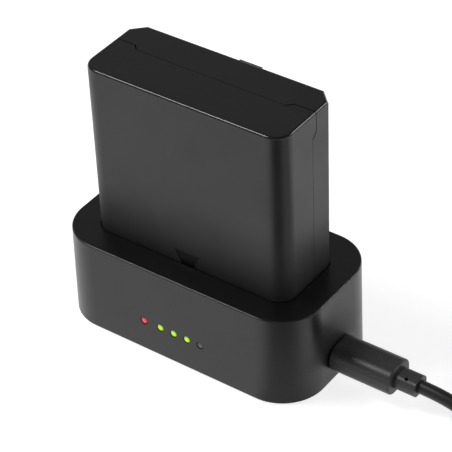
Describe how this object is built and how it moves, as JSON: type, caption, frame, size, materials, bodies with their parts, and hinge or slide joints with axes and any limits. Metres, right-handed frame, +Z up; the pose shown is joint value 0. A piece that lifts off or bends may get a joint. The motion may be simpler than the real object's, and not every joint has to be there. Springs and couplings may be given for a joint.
{
  "type": "flash battery charger",
  "caption": "Low black desk charger with rounded ends and a row of charge lights, holding an upright flat flash battery pack in its well, with a USB lead plugged into one end.",
  "frame": {"origin": "on the table under the middle of the charger", "axes": "+X towards the end with the USB socket, -Y towards the front with the lights, +Z up"},
  "size_m": [0.2245, 0.0416, 0.0709],
  "materials": {
    "housing_plastic": "satin black moulding",
    "battery_plastic": "fine matt black moulding",
    "cover_plastic": "matt black moulding",
    "foot_rubber": "matt black rubber",
    "board_laminate": "green circuit board",
    "steel": "nickel-plated steel",
    "contact_brass": "gold-plated contact",
    "chip_resin": "black moulded resin",
    "ferrite": "dark grey ferrite",
    "ceramic": "brown ceramic",
    "red_lens": "lit red lens",
    "green_lens": "lit green lens",
    "grey_lens": "unlit clear lens",
    "cell_sleeve": "shrunk-on sleeve",
    "foam": "black foam",
    "insulator_card": "insulating card",
    "plug_plastic": "black moulded grip",
    "insert_plastic": "black insert",
    "cable_jacket": "satin black jacket",
    "tie_strap": "black hook-and-loop strap"
  },
  "bodies": {
    "root": {"charger_housing": "housing_plastic", "base_cover": "cover_plastic", "cover_screws": "steel", "foot_front_left": "foot_rubber", "foot_front_right": "foot_rubber", "foot_back_left": "foot_rubber", "foot_back_right": "foot_rubber", "circuit_board": "board_laminate", "charge_inductor": "ferrite", "controller_chip": "chip_resin", "input_capacitor": "ceramic", "output_capacitor": "ceramic", "led_red": "red_lens", "led_green_1": "green_lens", "led_green_2": "green_lens", "led_green_3": "green_lens", "led_unlit": "grey_lens", "contact_carrier": "insert_plastic", "contact_blade_positive": "contact_brass", "contact_blade_sense": "contact_brass", "contact_blade_negative": "contact_brass", "battery_front_shell": "battery_plastic", "battery_back_shell": "battery_plastic", "battery_cell_left": "cell_sleeve", "battery_cell_right": "cell_sleeve", "protection_board": "board_laminate", "battery_terminal_positive": "contact_brass", "battery_terminal_sense": "contact_brass", "battery_terminal_negative": "contact_brass", "series_link": "steel", "positive_tab": "steel", "negative_tab": "steel", "insulator_sheet": "insulator_card", "foam_pad": "foam", "usb_socket_shell": "steel", "usb_socket_tongue": "insert_plastic", "usb_plug_shell": "steel", "usb_plug_insert": "insert_plastic", "usb_plug_overmold": "plug_plastic", "usb_cable": "cable_jacket", "cable_hank": "cable_jacket", "hank_tie": "tie_strap", "usb_a_overmold": "plug_plastic", "usb_a_shell": "steel", "usb_a_insert": "insert_plastic"}
  },
  "joints": []
}
